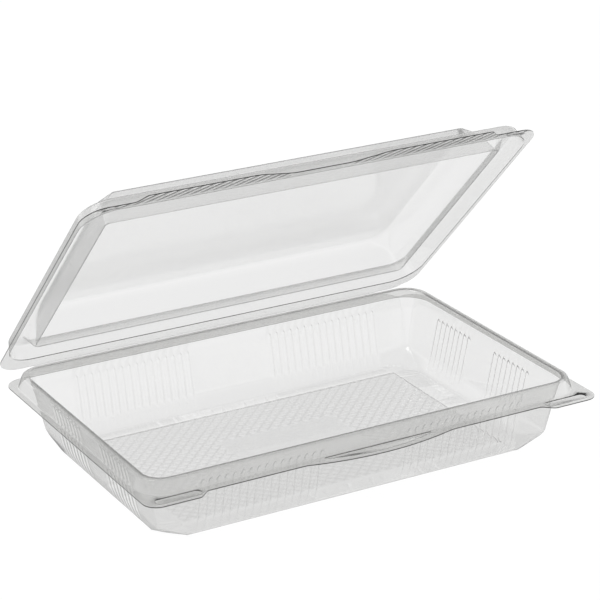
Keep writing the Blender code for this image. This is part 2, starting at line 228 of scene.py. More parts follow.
@dataclass(frozen=True)
class ClearSheet:
    """Clear PET sheet, vacuum formed: glass-clear and glossy, with a grey-green depth at its edges and
    painted shade along its folds.

    Attributes:
        name: The material's name.
        tint: What white light keeps of its colour through the sheet, as sRGB hex.
        painted_shade_tint: The colour that the sheet's tint is darkened to as painted shade, along each fold
            and where the sheet is seen almost edge on. It draws the thin dark line along each bend.
        slant_from: The share of facing away at which that painted shade starts, from 0, square, to 1, edge
            on.
        depth_tint: The colour of light that has run far inside the sheet.
        absorption: How strongly the plastic takes up light, per metre.
        roughness: Of the formed surface.
        ior: Of PET.
        wave_length: Of the slow waves that forming leaves.
        wave_height: Of those waves.
        grain_size: Of the fine unevenness from the mould.
        grain_height: Of that grain.
        detail: How much finer unevenness the waves and the grain carry.
        knurl: The grip's ribs, or None for a sheet without a grip.
    """

    name: str
    tint: str = "#FFFFFF"
    painted_shade_tint: str = "#4A4A48"
    slant_from: float = 0.97
    depth_tint: str = "#BCBCB8"
    absorption: float = 700.0
    roughness: float = 0.05
    ior: float = 1.57
    wave_length: float = 34 * MM
    wave_height: float = 0.08 * MM
    grain_size: float = 2.2 * MM
    grain_height: float = 0.0012 * MM
    detail: float = 1.5
    knurl: Knurl | None = None

    def build(self) -> bpy.types.Material:
        """Returns the material."""
        material = bpy.data.materials.new(self.name)
        material.use_nodes = True
        tree = material.node_tree
        tree.nodes.clear()
        place = add_node(tree, "ShaderNodeTexCoord").outputs["Object"]
        reliefs = []
        for size, height in ((self.wave_length, self.wave_height), (self.grain_size, self.grain_height)):
            pattern = {"Vector": place, "Scale": 1 / size, "Detail": self.detail}
            noise = add_node(tree, "ShaderNodeTexNoise", pattern)
            reliefs.append((noise.outputs["Fac"], height))
        # Painted shade along the folds, read from the mesh's attribute.
        bend = add_node(tree, "ShaderNodeAttribute", attribute_name=FOLD_SHADE).outputs["Fac"]
        if self.knurl:
            ribs = self.knurl.relief(tree)
            reliefs.append((ribs, self.knurl.height))
            # The ribs also get painted shade in the tint.
            dimmed = {0: ribs, 1: self.knurl.rib_shade}
            rib_shade = add_node(tree, "ShaderNodeMath", dimmed, operation="MULTIPLY")
            both = {0: bend, 1: rib_shade.outputs[0]}
            bend = add_node(tree, "ShaderNodeMath", both, operation="ADD").outputs[0]
        # Painted shade where the sheet is seen almost edge on; the darker of it and the fold's painted shade
        # mixes the tint towards the painted shade tint.
        slant = add_node(tree, "ShaderNodeLayerWeight", {"Blend": 0.5}).outputs["Facing"]
        along = add_node(tree, "ShaderNodeMapRange", {"Value": slant, "From Min": self.slant_from})
        darker = {0: along.outputs["Result"], 1: bend}
        painted_shade = add_node(tree, "ShaderNodeMath", darker, operation="MAXIMUM").outputs[0]
        tints = {"Factor": painted_shade, "A": linear_colour(self.tint), "B": linear_colour(self.painted_shade_tint)}
        kept = add_node(tree, "ShaderNodeMix", tints, data_type="RGBA")
        normal = {}
        for relief, height in reliefs:
            bump = {"Height": relief, "Distance": height, "Strength": 1.0, **normal}
            normal = {"Normal": add_node(tree, "ShaderNodeBump", bump).outputs["Normal"]}
        surface = add_node(
            tree,
            "ShaderNodeBsdfPrincipled",
            {
                "Base Color": kept.outputs["Result"],
                "Roughness": self.roughness,
                "IOR": self.ior,
                "Transmission Weight": 1.0,
                **normal,
            },
        )
        depth = add_node(
            tree,
            "ShaderNodeVolumeAbsorption",
            {"Color": linear_colour(self.depth_tint), "Density": self.absorption},
        )
        add_node(
            tree,
            "ShaderNodeOutputMaterial",
            {"Surface": surface.outputs["BSDF"], "Volume": depth.outputs["Volume"]},
        )
        return material


# Formed tight over the mould: glossy, and its slow waves bend what shows through it.
TRAY_SHEET = ClearSheet("thermoformed clear PET, tray")

# A little less sharp than the tray's, which softens what shows through the panel, and with the grip.
LID_SHEET = ClearSheet("thermoformed clear PET, lid", absorption=380.0, roughness=0.11, knurl=Knurl())

# The die leaves a rough edge; it is tinted black, a painted shade that draws the dark line round each shell.
CUT_EDGE = ClearSheet("die-cut clear PET edge painted dark", tint="#000000", roughness=0.25)


@dataclass(frozen=True)
class PackSizes:
    """What the tray and the lid share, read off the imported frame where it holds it.

    Attributes:
        flange_side: Half the pack's length, over its flange.
        crest_top: The height of the tray's rim.
        hinge: A point on the hinge's axis.
        open_angle: How far the lid stands open.
        sheet: The thickness of the sheet.
        closed_gap: Between the two flanges when the lid is shut.
        side_land: The width of the side flange, from its edge to the rim's root.
        back_land: From the hinge's axis to the rim's root.
        front_land: From the rim's root to the front edge.
        tab_reach: How far the front tabs stand out from the front edge.
        root_corner: The corner radius of the rim's root.
        hinge_relief: From the hinge's axis to the back edge of each flange.
        draw_in: How far inside the rim's root forming has drawn the sheet thin.
    """

    flange_side: float
    crest_top: float
    hinge: Vector
    open_angle: float
    sheet: float = 0.4 * MM
    closed_gap: float = 0.4 * MM
    side_land: float = 2.9 * MM
    back_land: float = 10.6 * MM
    front_land: float = 4.6 * MM
    tab_reach: float = 4.5 * MM
    root_corner: float = 14.2 * MM
    hinge_relief: float = 0.25 * MM
    draw_in: float = 7.0 * MM

    @property
    def rim_side(self) -> float:
        """Half the length over the root of the tray's rim."""
        return self.flange_side - self.side_land

    @property
    def rim_front(self) -> float:
        """Half the depth over the root of the tray's rim."""
        return self.hinge.y - self.back_land

    @property
    def front_edge(self) -> float:
        """From the middle of the pack to the front edge of its flange."""
        return self.rim_front + self.front_land

    @property
    def tab_edge(self) -> float:
        """From the middle of the pack to the edge of its corner tabs."""
        return self.front_edge + self.tab_reach

    @property
    def back_edge(self) -> float:
        """From the middle of the pack to the back edge of a flange."""
        return self.hinge.y - self.hinge_relief

    @property
    def flange_top(self) -> float:
        """The height of the tray's flange."""
        return self.hinge.z - self.closed_gap / 2

    @property
    def drawn_sheet(self) -> float:
        """The thickness of the sheet where forming has drawn it thin."""
        return self.sheet * DRAWN_SHARE

    def gauge(self, inset: float) -> float:
        """How thick the sheet is left at an inset, from 0, drawn thin, to 1, as it came."""
        return min(1.0, max(0.0, 1 - inset / self.draw_in))

    def concentric(self, inset: float) -> Place:
        """A corner at an inset, on the same centre as the corner of the rim's root."""
        radius = self.root_corner - inset
        return (radius, radius)

    def opened(self) -> Matrix:
        """Returns the move from the closed lid, its flange at height 0, to the open one."""
        lift = Matrix.Translation((0, 0, self.flange_top + self.closed_gap))
        swing = Matrix.Rotation(-self.open_angle, 4, "X")
        return Matrix.Translation(self.hinge) @ swing @ Matrix.Translation(-self.hinge) @ lift


@dataclass(frozen=True)
class Fold:
    """One fold of a shell's profile.

    Attributes:
        inset: How far inside the rim's root it runs.
        height: Its height.
        corner: How far each of its corners reaches along the long and the short side.
        form: Whether the corners are cut straight or round.
        flute: The share of the flutes' depth that it carries.
        reach: How far the fold's curve reaches along its two flanks.
        arch: How far it rises in the middle of each flute.
    """

    inset: float
    height: float
    corner: Place
    form: CornerForm = CornerForm.ROUND
    flute: float = 0.0
    reach: float = 0.0
    arch: float = 0.0

    def values(self) -> Vector:
        """Returns the ring of this fold as one vector, so that rings can be mixed."""
        return Vector((self.inset, self.height, *self.corner, self.form.value, self.flute, self.arch))


def curved_profile(folds: Sequence[Fold], steps: int) -> list[Vector]:
    """Rounds each fold between the first and the last.

    Args:
        folds: The folds in order.
        steps: How many flats make the curve of one fold.

    Returns:
        The rings' values, in order.
    """
    rings = [folds[0].values()]
    for before, fold, after in zip(folds, folds[1:], folds[2:]):
        here = fold.values()
        back, ahead = before.values() - here, after.values() - here
        start = here + back * min(0.5, fold.reach / Vector(back[:2]).length)
        end = here + ahead * min(0.5, fold.reach / Vector(ahead[:2]).length)
        for step in range(steps + 1):
            t = step / steps
            rings.append(start * (1 - t) ** 2 + here * 2 * t * (1 - t) + end * t**2)
    rings.append(folds[-1].values())
    return rings


@dataclass(frozen=True)
class Flutes:
    """The two groups of rounded upright flutes on each side of the tray.

    Attributes:
        pitch: From flute to flute.
        depths: Of a flute on a long and on a short side.
        starts: Where the first flute of a long and of a short side's group starts.
        counts: How many flutes such a group has.
        flats: How many flats make one flute.
        steepness: Of a flute's flanks. Above 0.5 its land and its foot are flat.
        plain: How many columns the plain middle of a side has.
    """

    pitch: float = 4.0 * MM
    depths: Place = (0.8 * MM, 0.5 * MM)
    starts: Place = (21.0 * MM, 9.5 * MM)
    counts: tuple[int, int] = (16, 8)
    flats: int = 8
    steepness: float = 0.55
    plain: tuple[int, int] = (6, 3)

    def share(self, turn: float) -> float:
        """The share of the depth at a place across one flute: flat land, steep flanks, flat foot."""
        return min(1.0, max(0.0, 0.5 - self.steepness * math.cos(2 * math.pi * turn)))

    def columns(self, side: int) -> list[Place]:
        """Places along a side, each with the share of the flute depth there.

        Args:
            side: 0 for a long side and 1 for a short one.

        Returns:
            The places from left to right.
        """
        start, count, plain = self.starts[side], self.counts[side], self.plain[side]
        turns = [k / self.flats for k in range(count * self.flats + 1)]
        group = [(start + self.pitch * turn, self.share(turn)) for turn in turns]
        middle = [(start * (2 * (k + 1) / (plain + 1) - 1), 0.0) for k in range(plain)]
        return [(-place, share) for place, share in reversed(group)] + middle + group


def even_columns(half: float, count: int) -> list[Place]:
    """Plain places spread evenly over a side of half length half."""
    return [(half * (2 * (k + 1) / (count + 1) - 1), 0.0) for k in range(count)]


def ring_points(
    sizes: PackSizes,
    values: Vector,
    flutes: Flutes | None,
    corner_flats: int,
    columns: tuple[int, int],
) -> list[RingPoint]:
    """The points of one ring, counter-clockwise from the front left.

    Args:
        sizes: The pack's sizes.
        values: The ring's values, from a Fold.
        flutes: The flutes, or None for a plain ring.
        corner_flats: How many flats turn a corner.
        columns: How many plain columns a long and a short side have.

    Returns:
        Each point with a parameter that orders it round the ring, and with its share of the painted
        fold shade along the ring: that of the flute there on a short side, 0 on a long one, or 1 all
        round a plain ring.
    """
    inset, height, cut_x, cut_y, bulge, flute, arch = values
    halves, cuts = (sizes.rim_side - inset, sizes.rim_front - inset), (cut_x, cut_y)
    points = []
    for side in range(SIDES):
        along, out = side % 2, 1 - side % 2
        straight = halves[along] - cuts[along]
        if flutes:
            places, depth = flutes.columns(along), flutes.depths[along] * flute
        else:
            places, depth = even_columns(straight, columns[along]), 0.0
        for place, share in places:
            point = place * ALONG[side] + (halves[out] - share * depth) * OUTWARD[side]
            parameter = side + SIDE_SHARE * (place / straight + 1) / 2
            fold_shade_share = share * along if flutes else 1.0
            points.append((Vector((*point, height + share * arch)), parameter, fold_shade_share))
        centre = straight * ALONG[side] + (halves[out] - cuts[out]) * OUTWARD[side]
        for step in range(corner_flats + 1):
            share = step / corner_flats
            angle = share * math.pi / 2
            round_reach = (math.sin(angle), math.cos(angle))
            reach = [bulge * r + (1 - bulge) * s for r, s in zip(round_reach, (share, 1 - share))]
            point = centre + cuts[along] * reach[0] * ALONG[side] + cuts[out] * reach[1] * OUTWARD[side]
            parameter = side + SIDE_SHARE + (1 - SIDE_SHARE) * share
            points.append((Vector((*point, height)), parameter, 0.0 if flutes else 1.0))
    return points


def fold_shade_in_front(points: Iterable[RingPoint], line: float, rest: float) -> list[RingPoint]:
    """Keeps the whole painted fold shade in front of a line, and the share rest of it behind."""
    return [(point, parameter, 1.0 if point.y < line else rest) for point, parameter, _ in points]


def filleted(corners: Sequence[Corner], flats: int) -> list[Vector]:
    """Rounds the corners of a closed outline.

    Args:
        corners: Each corner's x and y with its radius, which is 0 for a plain point.
        flats: How many flats make the arc of a square corner.

    Returns:
        The outline's points.
    """
    outline = []
    for k, (x, y, radius) in enumerate(corners):
        here = Vector((x, y))
        back = (Vector(corners[k - 1][:2]) - here).normalized()
        ahead = (Vector(corners[(k + 1) % len(corners)][:2]) - here).normalized()
        angle = back.angle(ahead)
        if radius == 0:
            outline.append(here)
            continue
        reach = radius / math.tan(angle / 2)
        centre = here + (back + ahead).normalized() * radius / math.sin(angle / 2)
        start, end = here + back * reach, here + ahead * reach
        steps = max(2, round(flats * (math.pi - angle) / (math.pi / 2)))
        turn = (start - centre).angle_signed(end - centre)
        for step in range(steps + 1):
            spoke = start - centre
            spoke.rotate(Matrix.Rotation(-turn * step / steps, 2))
            outline.append(centre + spoke)
    return outline


def mirrored(half: Sequence[Corner]) -> list[Corner]:
    """A whole outline from its right half, listed from front middle to back middle."""
    return [*half, *((-x, y, radius) for x, y, radius in reversed(half))]


def bowed_edge(half: float, sag: float, flats: int) -> list[Place]:
    """The x and rise of an arc over a chord, from its middle to its right end."""
    radius = (half**2 + sag**2) / (2 * sag)
    places = [half * (k + 0.5) / flats for k in range(flats)]
    return [(x, math.sqrt(radius**2 - x**2) - (radius - sag)) for x in places]


def box_corners(middle: float, half: float, front: float, back: float, radius: float) -> list[Corner]:
    """The corners of a pad in the front flange, counter-clockwise."""
    left, right = middle - half, middle + half
    return [(left, -front, radius), (right, -front, radius), (right, -back, radius), (left, -back, radius)]


def is_inside(point: Vector, outline: Sequence[Vector]) -> bool:
    """Whether a point lies inside a closed outline."""
    within = False
    for k, here in enumerate(outline):
        before = outline[k - 1]
        if (here.y > point.y) != (before.y > point.y):
            crossing = here.x + (point.y - here.y) * (before.x - here.x) / (before.y - here.y)
            within ^= point.x < crossing
    return within


def drawn_in(outline: Sequence[Vector], distance: float) -> list[Vector]:
    """An outline moved inwards by a distance, point by point."""
    moved = []
    for k, here in enumerate(outline):
        ahead = (outline[(k + 1) % len(outline)] - here).normalized()
        behind = (here - outline[k - 1]).normalized()
        inwards = Vector((-ahead.y - behind.y, ahead.x + behind.x))
        moved.append(here + inwards * 2 * distance / inwards.length_squared)
    return moved


class FormedFace:
    """The one face that a formed sheet is laid as, before it gets its thickness."""

    def __init__(self) -> None:
        """Starts an empty face."""
        self.mesh = bmesh.new()
        layers = self.mesh.verts.layers
        layers.deform.verify()
        layers.float.new(FOLD_SHADE)
        self.gauge, self.bend = layers.deform.active, layers.float[FOLD_SHADE]

    def vert(self, point: Iterable[float], gauge: float = 1.0, bend: float = 0.0) -> bmesh.types.BMVert:
        """Adds a point.

        Args:
            point: Its place.
            gauge: How thick the sheet is left there, from 0, drawn thin, to 1, as it came.
            bend: How dark the painted shade along a fold is there, from 0 to 1.

        Returns:
            The new vertex.
        """
        vert = self.mesh.verts.new(point)
        vert[self.gauge][0] = gauge
        vert[self.bend] = bend
        return vert

    def ring(self, points: Iterable[RingPoint], gauge: float = 0.0, bend: float = 0.0) -> Ring:
        """Adds the points of a ring.

        Args:
            points: Each point with its parameter and its share of the painted fold shade.
            gauge: How thick the sheet is left there.
            bend: How dark the painted fold shade is there.

        Returns:
            The ring's vertices with their parameters.
        """
        return [(self.vert(point, gauge, bend * share), parameter) for point, parameter, share in points]

    def join(self, inner: Ring, outer: Ring) -> None:
        """Fills between two rings, by place where their counts agree and else by parameter.

        Args:
            inner: The ring nearer the middle.
            outer: The ring outside it.
        """
        if len(inner) == len(outer):
            for k in range(len(inner)):
                after = (k + 1) % len(inner)
                self.mesh.faces.new((inner[k][0], outer[k][0], outer[after][0], inner[after][0]))
            return
        i = j = 0
        while i < len(inner) or j < len(outer):
            next_inner, next_outer = inner[(i + 1) % len(inner)], outer[(j + 1) % len(outer)]
            place_inner = next_inner[1] + (SIDES if i + 1 >= len(inner) else 0)
            place_outer = next_outer[1] + (SIDES if j + 1 >= len(outer) else 0)
            here = (inner[i % len(inner)][0], outer[j % len(outer)][0])
            if j >= len(outer) or (i < len(inner) and place_inner < place_outer - PLACE_TOLERANCE):
                self.mesh.faces.new((*here, next_inner[0]))
                i += 1
            elif i >= len(inner) or place_outer < place_inner - PLACE_TOLERANCE:
                self.mesh.faces.new((*here, next_outer[0]))
                j += 1
            else:
                self.mesh.faces.new((*here, next_outer[0], next_inner[0]))
                i += 1
                j += 1

    def join_all(self, rings: Sequence[Ring]) -> None:
        """Fills between each ring and the next."""
        for inner, outer in zip(rings, rings[1:]):
            self.join(inner, outer)

    def flange(
        self, root: Ring, edge: Sequence[Vector], pads: Sequence[Sequence[Vector]]
    ) -> list[PadRim]:
        """Fills the flat flange round the rim, and leaves a hole for each pad.

        Args:
            root: The last ring of the rim.
            edge: The outline of the flange.
            pads: The outlines of the pads.

        Returns:
            Each pad's outline with its vertices.
        """
        height = root[0][0].co.z
        loops = [[Vector(vert.co[:2]) for vert, _ in root], edge, *pads]
        verts = [vert for vert, _ in root]
        for loop in loops[1:]:
            verts += [self.vert((*point, height)) for point in loop]
        flat, edges, rims = [], [], []
        for loop in loops:
            first = len(flat)
            flat += loop
            edges += [(first + n, first + (n + 1) % len(loop)) for n in range(len(loop))]
            rims.append((loop, verts[first : len(flat)]))
        points, _, faces, origins, _, _ = delaunay_2d_cdt(flat, edges, [], 0, MERGE_DISTANCE)
        holes = [loops[0], *pads]
        for face in faces:
            middle = sum((points[k] for k in face), Vector((0, 0))) / len(face)
            if is_inside(middle, edge) and not any(is_inside(middle, hole) for hole in holes):
                self.mesh.faces.new([verts[origins[k][0]] for k in face])
        return rims[2:]

    def press_pads(self, rims: Sequence[PadRim], wall: float, depth: float) -> None:
        """Presses the flange's pads up or down, with an eased wall round each.

        Args:
            rims: The pads' outlines with their vertices.
            wall: The width of the wall.
            depth: How far the pad lies from the flange, upwards.
        """
        for outline, rim in rims:
            height = rim[0].co.z
            rings = [rim]
            for reach, rise in EASED_STEP_SHARES[1:]:
                loop = drawn_in(outline, wall * reach)
                rings.append([self.vert((*p, height + depth * rise)) for p in loop])
            for outer, inner in zip(rings, rings[1:]):
                for k in range(len(rim)):
                    after = (k + 1) % len(rim)
                    self.mesh.faces.new((inner[k], outer[k], outer[after], inner[after]))
            self.mesh.faces.new(rings[-1])

    def keep_plan(self) -> None:
        """Stores each point's place seen from above as a UV map, for what is drawn on the plan."""
        plan = self.mesh.loops.layers.uv.new("plan")
        for face in self.mesh.faces:
            for loop in face.loops:
                loop[plan].uv = loop.vert.co.xy

    def piece(self, name: str, sheet: float, side: SheetSide, finish: Finish) -> bpy.types.Object:
        """Makes the face an object, and gives it the sheet's thickness and smooth shading.

        Args:
            name: The object's name.
            sheet: The thickness.
            side: Where the thickness goes.
            finish: The sheet's material and that of its cut edge.

        Returns:
            The finished object.
        """
        data = bpy.data.meshes.new(name)
        self.mesh.to_mesh(data)
        self.mesh.free()
        shell = bpy.data.objects.new(name, data)
        bpy.context.scene.collection.objects.link(shell)
        for material in finish:
            data.materials.append(material)
        shell.vertex_groups.new(name="gauge")
        finish_sheet(shell, sheet, side.value)
        return shell


def finish_sheet(shell: bpy.types.Object, sheet: float, offset: float) -> None:
    """Gives a face its thickness for good, and shades it smooth but for its cut edge.

    Args:
        shell: The object.
        sheet: The thickness.
        offset: From -1, below the face, to 1, above it.
    """
    bpy.ops.object.select_all(action="DESELECT")
    bpy.context.view_layer.objects.active = shell
    shell.select_set(True)
    thicken = shell.modifiers.new("sheet", "SOLIDIFY")
    thicken.thickness = sheet
    thicken.offset = offset
    thicken.use_even_offset = True
    thicken.material_offset_rim = len(shell.data.materials) - 1
    if shell.vertex_groups:
        thicken.vertex_group = shell.vertex_groups[0].name
        thicken.thickness_vertex_group = DRAWN_SHARE
    bpy.ops.object.modifier_apply(modifier=thicken.name)
    bpy.ops.object.shade_smooth_by_angle(angle=SMOOTH_ANGLE)


@dataclass
class Tray:
    """The lower shell: embossed floor, fluted walls, rim and flange.

    Attributes:
        sizes: The pack's sizes.
        finish: The materials of the sheet and of its cut edge.
        flutes: The flutes of its walls.
        diamond: The diagonal of one diamond of the floor's emboss.
        cells: How many grid cells one diagonal has.
        field_half: Half the embossed field, counted in grid cells.
        patch_half: Half the plain patch in its middle, counted in grid cells.
        floor_raise: How far the field lies above the border.
        diamond_rise: How far a diamond stands up from its grooves.
        groove_shade: How dark the painted shade in the groove between two diamonds is, from 0 to 1.
        step: The width of the step round the field.
        floor_inset: How far inside the rim's root the floor ends, as for each inset here.
        floor_corner: How far the floor's cut corners reach.
        sill: How high the flutes' feet stand above the floor.
        sill_inset: Of the flutes' feet.
        sill_corner: How far the corners reach there.
        flute_shares: The share of the flutes' depth at their feet and at their tops.
        flute_top_inset: Of the flutes' tops, where the caps start.
        flute_top_drop: How far below the flange they lie.
        cap_top_inset: Of the caps' upper edge.
        cap_top_drop: How far below the flange it lies.
        cap_arch: How far a cap rises in the middle of its flute.
        cap_fold: How far the folds round the caps reach.
        cap_shade: How dark the painted shade along those folds is, from 0 to 1.
        cap_shade_rings: Which of the wall's rings carry that painted shade.
        wall_top_inset: Of the wall's top, where the rim starts.
        wall_top_rise: How far above the flange it lies.
        crest_insets: Of the inner and of the outer edge of the rim's flat top.
        soft_fold: How far the wide folds reach.
        crisp_fold: How far the narrow folds reach.
        fold_flats: How many flats make the curve of a fold.
        corner_flats: How many flats make a round corner.
        rim_columns: How many columns a long and a short side of the rim have.
        crest_shade: How dark the painted shade along the inner fold of the rim's top is, from 0 to 1.
        crest_shade_rings: Which of the rim's rings carry it.
        back_shade_share: What is left of that painted shade at the back, behind the rim's back corners.
        tab_end_land: From the flange's end to the end of a corner tab.
        tab_slope: How long the slope at a corner tab's end is.
        tab_fillet: The fillets at that slope.
        centre_tab_half: Half the length of the centre tab.
        centre_tab_reach: How far it bows out from the front edge.
        centre_tab_fillet: The fillet at its ends.
        side_corner: The radius of the flange's front corners.
        back_corner: The radius of its back corners.
        back_corner_land: From the rim's root back to the edge of the flange's back corners.
        notch_land: From the flange's end to the notch at its back corner.
        notch_slope: How long the slope into the notch is.
        notch_fillet: The fillets at that slope.
        pad_depth: How deep the pads are pressed.
        pad_wall: The width of their walls, less than half the width of the crescent's ends.
        pad_back_land: From the rim's root to the pads.
        slot_half: Half the length of a corner tab's pad, the slot.
        slot_side_land: From the flange's end to the slot.
        slot_front_land: From the slot to the front edge of its tab.
        slot_fillet: The radius of its corners.
        crescent_half: Half the length of the centre tab's pad, the crescent.
        crescent_end_land: From the crescent's ends to the front edge.
        crescent_front_land: From its middle to the edge of the centre tab.
        crescent_fillet: The radius of its corners.
    """

    sizes: PackSizes
    finish: Finish
    flutes: Flutes = field(default_factory=Flutes)
    diamond: float = 5.87 * MM
    cells: int = 6
    field_half: tuple[int, int] = (87, 50)
    patch_half: tuple[int, int] = (32, 19)
    floor_raise: float = 1.0 * MM
    diamond_rise: float = 0.34 * MM
    groove_shade: float = 0.1
    step: float = 1.2 * MM
    floor_inset: float = 15.1 * MM
    floor_corner: Place = (12.0 * MM, 13.6 * MM)
    sill: float = 7.0 * MM
    sill_inset: float = 12.1 * MM
    sill_corner: float = 3.2 * MM
    flute_shares: Place = (0.9, 0.65)
    flute_top_inset: float = 7.75 * MM
    flute_top_drop: float = 2.9 * MM
    cap_top_inset: float = 7.6 * MM
    cap_top_drop: float = 2.4 * MM
    cap_arch: float = 1.6 * MM
    cap_fold: float = 0.2 * MM
    cap_shade: float = 0.6
    cap_shade_rings: range = range(14, 20)
    wall_top_inset: float = 6.8 * MM
    wall_top_rise: float = 0.1 * MM
    crest_insets: Place = (5.4 * MM, 2.2 * MM)
    soft_fold: float = 1.8 * MM
    crisp_fold: float = 0.8 * MM
    fold_flats: int = 5
    corner_flats: int = 12
    rim_columns: tuple[int, int] = (36, 22)
    crest_shade: float = 0.6
    crest_shade_rings: range = range(3, 6)
    back_shade_share: float = 0.2
    tab_end_land: float = 25.2 * MM
    tab_slope: float = 5.0 * MM
    tab_fillet: float = 3.0 * MM
    centre_tab_half: float = 38.0 * MM
    centre_tab_reach: float = 5.4 * MM
    centre_tab_fillet: float = 12.0 * MM
    side_corner: float = 7.0 * MM
    back_corner: float = 9.0 * MM
    back_corner_land: float = 0.7 * MM
    notch_land: float = 13.2 * MM
    notch_slope: float = 5.5 * MM
    notch_fillet: float = 2.0 * MM
    pad_depth: float = 0.35 * MM
    pad_wall: float = 0.45 * MM
    pad_back_land: float = 1.7 * MM
    slot_half: float = 11.0 * MM
    slot_side_land: float = 5.2 * MM
    slot_front_land: float = 2.4 * MM
    slot_fillet: float = 2.2 * MM
    crescent_half: float = 27.5 * MM
    crescent_end_land: float = 1.7 * MM
    crescent_front_land: float = 2.6 * MM
    crescent_fillet: float = 0.6 * MM

    def wall_folds(self) -> list[Fold]:
        """The folds of the fluted wall, from the floor's edge up."""
        sizes, cut, soft = self.sizes, CornerForm.CUT, self.soft_fold
        sheet, top = sizes.drawn_sheet, sizes.flange_top
        sill, (foot, head) = (self.sill_corner, self.sill_corner), self.flute_shares
        flute_top, cap_top, wall_top = self.flute_top_inset, self.cap_top_inset, self.wall_top_inset
        flute_height, cap_height = top - self.flute_top_drop, top - self.cap_top_drop
        arch, cap = self.cap_arch, self.cap_fold
        return [
            Fold(self.floor_inset + soft, sheet, self.floor_corner, cut),
            Fold(self.floor_inset, sheet, self.floor_corner, cut, reach=soft),
            Fold(self.sill_inset, sheet + self.sill, sill, flute=foot, reach=soft),
            Fold(flute_top, flute_height, sizes.concentric(flute_top), flute=head, reach=cap, arch=arch),
            Fold(cap_top, cap_height, sizes.concentric(cap_top), reach=cap, arch=arch),
            Fold(wall_top, top + self.wall_top_rise, sizes.concentric(wall_top)),
        ]

    def rim_folds(self) -> list[Fold]:
        """The plain folds of the rim, from its inside to the flange."""
        sizes, wall_top, crisp = self.sizes, self.wall_top_inset, self.crisp_fold
        inner, outer = self.crest_insets
        return [
            Fold(wall_top, sizes.flange_top + self.wall_top_rise, sizes.concentric(wall_top)),
            Fold(inner, sizes.crest_top, sizes.concentric(inner), reach=crisp),
            Fold(outer, sizes.crest_top, sizes.concentric(outer), reach=crisp),
            Fold(0.0, sizes.flange_top, sizes.concentric(0.0), reach=crisp),
            Fold(-crisp, sizes.flange_top, sizes.concentric(-crisp)),
        ]

    def diamond_share(self, i: int, j: int) -> float:
        """The emboss at a grid place: rounded diamonds between grooves that run at 45 degrees."""
        from_grooves = [min(k % self.cells, -k % self.cells) for k in (i + j, i - j)]
        return (1 - math.cos(math.pi * min(from_grooves) / (self.cells / 2))) / 2

    def lay_floor(self, face: FormedFace) -> Ring:
        """Lays the embossed field round its plain patch.

        Args:
            face: The sheet's face.

        Returns:
            The edge of the field as a ring.
        """
        cell = self.diamond / self.cells
        base = self.sizes.drawn_sheet + self.floor_raise
        (wide, deep), (patch_x, patch_y) = self.field_half, self.patch_half
        grid = {}
        for i in range(-wide, wide + 1):
            for j in range(-deep, deep + 1):
                plain = abs(i) == wide or abs(j) == deep or (abs(i) <= patch_x and abs(j) <= patch_y)
                share = 0.0 if plain else self.diamond_share(i, j)
                place = (i * cell, j * cell, base + self.diamond_rise * share)
                # Painted shade in the grooves between the diamonds.
                bend = 0.0 if plain or share > 0 else self.groove_shade
                grid[i, j] = face.vert(place, gauge=0.0, bend=bend)
        for i in range(-wide, wide):
            for j in range(-deep, deep):
                a, b, c, d = grid[i, j], grid[i + 1, j], grid[i + 1, j + 1], grid[i, j + 1]
                rising = min((i - j) % self.cells, (j - i) % self.cells)
                falling = min((i + j + 1) % self.cells, -(i + j + 1) % self.cells)
                halves = ((a, b, c), (a, c, d)) if rising < falling else ((a, b, d), (b, c, d))
                for half in halves:
                    face.mesh.faces.new(half)
        return [(grid[key], place) for key, place in self.grid_ring(wide, deep)]

    def grid_ring(self, wide: int, deep: int) -> list[tuple[tuple[int, int], float]]:
        """The grid places round a block, counter-clockwise from its front left corner.

        Args:
            wide: Half the block along x, in cells.
            deep: Half the block along y, in cells.

        Returns:
            Each place with its parameter.
        """
        ring = [((-wide + k, -deep), k / (2 * wide)) for k in range(2 * wide)]
        ring += [((wide, -deep + k), 1 + k / (2 * deep)) for k in range(2 * deep)]
        ring += [((wide - k, deep), 2 + k / (2 * wide)) for k in range(2 * wide)]
        ring += [((-wide, deep - k), 3 + k / (2 * deep)) for k in range(2 * deep)]
        return ring

    def step_points(self, reach: float, rise: float) -> list[RingPoint]:
        """A ring of the step round the field.

        Args:
            reach: The share of the step's width that lies inside it.
            rise: The share of the step's height that lies above it.

        Returns:
            Each point with a parameter that matches the wall's first ring.
        """
        cell = self.diamond / self.cells
        wide, deep = self.field_half
        straights = (
            self.sizes.rim_side - self.floor_inset - self.floor_corner[0],
            self.sizes.rim_front - self.floor_inset - self.floor_corner[1],
        )
        stretch = Vector((1 + reach * self.step / (wide * cell), 1 + reach * self.step / (deep * cell)))
        points = []
        for (i, j), parameter in self.grid_ring(wide, deep):
            side = int(parameter)
            point = Vector((i * cell * stretch.x, j * cell * stretch.y))
            if parameter == side:
                parameter = side - (1 - SIDE_SHARE) / 2
            else:
                share = point.dot(ALONG[side]) / straights[side % 2]
                parameter = side + SIDE_SHARE * (share + 1) / 2
            height = self.sizes.drawn_sheet + self.floor_raise * (1 - rise)
            points.append((Vector((*point, height)), parameter, 0.0))
        return points

    def edge(self) -> list[Vector]:
        """The flange's edge: a centre tab, a tab at each front corner and notched back corners."""
        sizes = self.sizes
        tab_end = sizes.flange_side - self.tab_end_land
        back = sizes.rim_front + self.back_corner_land
        notch = sizes.flange_side - self.notch_land
        bow = bowed_edge(self.centre_tab_half, self.centre_tab_reach, self.corner_flats)
        half = [(x, -(sizes.front_edge + rise), 0.0) for x, rise in bow]
        half += [
            (self.centre_tab_half, -sizes.front_edge, self.centre_tab_fillet),
            (tab_end - self.tab_slope, -sizes.front_edge, self.tab_fillet),
            (tab_end, -sizes.tab_edge, self.tab_fillet),
            (sizes.flange_side, -sizes.tab_edge, self.side_corner),
            (sizes.flange_side, back, self.back_corner),
            (notch, back, self.notch_fillet),
            (notch - self.notch_slope, sizes.back_edge, self.notch_fillet),
        ]
        return filleted(mirrored(half), self.corner_flats)

